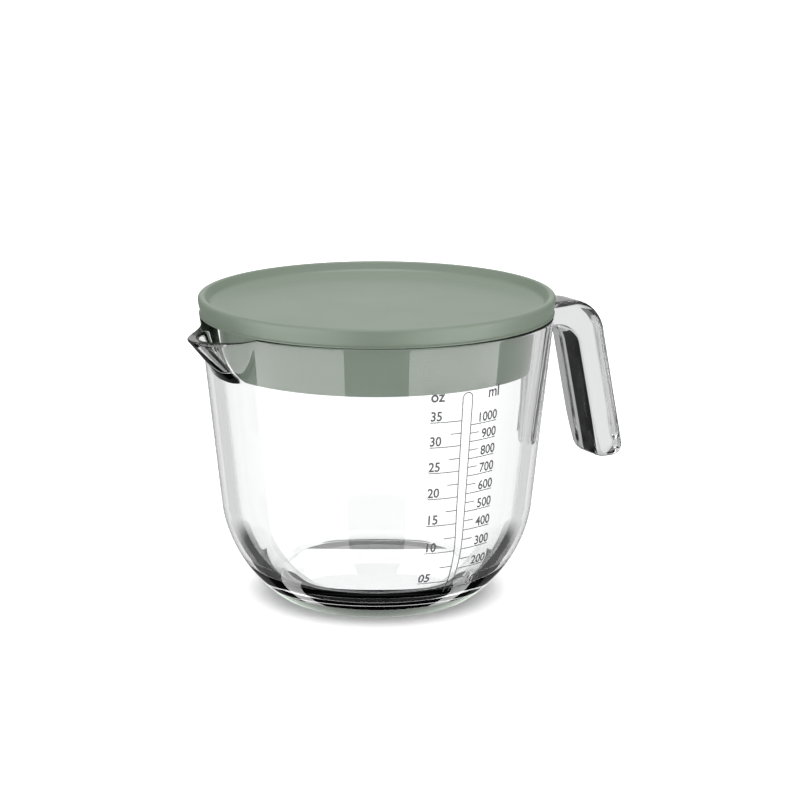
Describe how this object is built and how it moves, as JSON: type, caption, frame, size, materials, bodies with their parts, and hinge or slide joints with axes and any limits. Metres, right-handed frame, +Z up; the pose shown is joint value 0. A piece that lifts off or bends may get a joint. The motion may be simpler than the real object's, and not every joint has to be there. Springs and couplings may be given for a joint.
{
  "type": "measuring bowl with lid",
  "caption": "Deep clear measuring bowl with a rounded base, pouring lip, open hook handle and printed side scale, closed by a recessed round lid with a plug.",
  "frame": {"origin": "centre of the flat underside that the bowl stands on, on the bowl's axis", "axes": "+Z up along the bowl's axis, +X out through the handle, -X out through the spout, -Y towards the side that carries the printed scale"},
  "size_m": [0.2209, 0.1564, 0.1344],
  "materials": {
    "bowl": "clear, polished",
    "lid": "satin sage green"
  },
  "bodies": {
    "bowl": {"bowl": "bowl"},
    "lid": {"lid": "lid"}
  },
  "joints": [
    {"name": "lid_lift", "type": "slide", "parent": "bowl", "child": "lid", "axis": [0, 0, 1], "range_m": [0, 0.06]}
  ]
}
